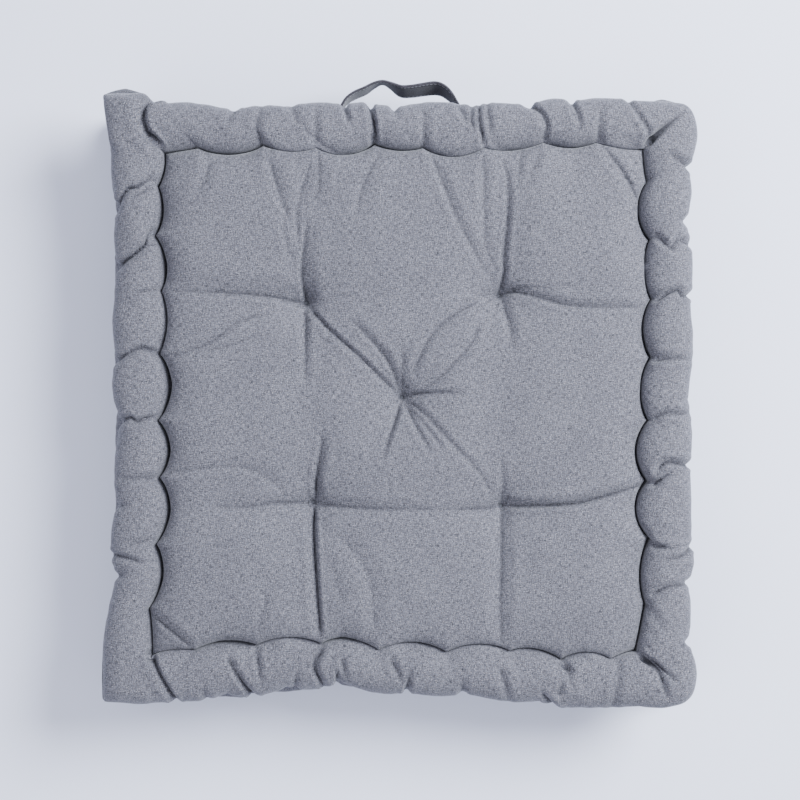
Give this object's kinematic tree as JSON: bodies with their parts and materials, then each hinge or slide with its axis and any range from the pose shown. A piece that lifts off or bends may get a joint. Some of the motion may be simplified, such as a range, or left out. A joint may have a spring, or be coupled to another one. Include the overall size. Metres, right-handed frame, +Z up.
{
  "type": "floor cushion",
  "caption": "Square floor cushion with stitched rolled edges, a tufted filled middle and a fabric carry handle on one side.",
  "frame": {"origin": "middle of the bounding box in plan, at the floor", "axes": "+Z up, +Y towards the side that carries the handle, +X to the right when the handle is at the back"},
  "size_m": [0.5146, 0.5436, 0.1032],
  "materials": {
    "cover_cloth": "matte heathered plain weave",
    "strap_cloth": "matte folded cloth",
    "filling_fibre": "matte loose fibre",
    "twine": "matte twisted thread"
  },
  "bodies": {
    "cushion": {"top_panel": "cover_cloth", "bottom_panel": "cover_cloth", "side_band_front": "cover_cloth", "side_band_back": "cover_cloth", "side_band_left": "cover_cloth", "side_band_right": "cover_cloth", "filling": "filling_fibre", "handle_end_left": "strap_cloth", "handle_end_right": "strap_cloth", "tuft_tie_centre": "twine", "tuft_tie_back_left": "twine", "tuft_tie_back_right": "twine", "tuft_tie_front_left": "twine", "tuft_tie_front_right": "twine", "top_roll_stitching_front": "twine", "top_roll_stitching_back": "twine", "top_roll_stitching_left": "twine", "top_roll_stitching_right": "twine", "bottom_roll_stitching_front": "twine", "bottom_roll_stitching_back": "twine", "bottom_roll_stitching_left": "twine", "bottom_roll_stitching_right": "twine", "top_seam_thread": "twine", "bottom_seam_thread": "twine", "corner_seam_back_left": "twine", "corner_seam_back_right": "twine", "corner_seam_front_left": "twine", "corner_seam_front_right": "twine", "handle_stitching_left": "twine", "handle_stitching_right": "twine"},
    "handle": {"handle_loop": "strap_cloth"}
  },
  "joints": [
    {"name": "handle_swing", "type": "hinge", "parent": "cushion", "child": "handle", "pos_m": [0, 0.24545, 0.05], "axis": [1, 0, 0], "range_deg": [-60, 60]}
  ]
}
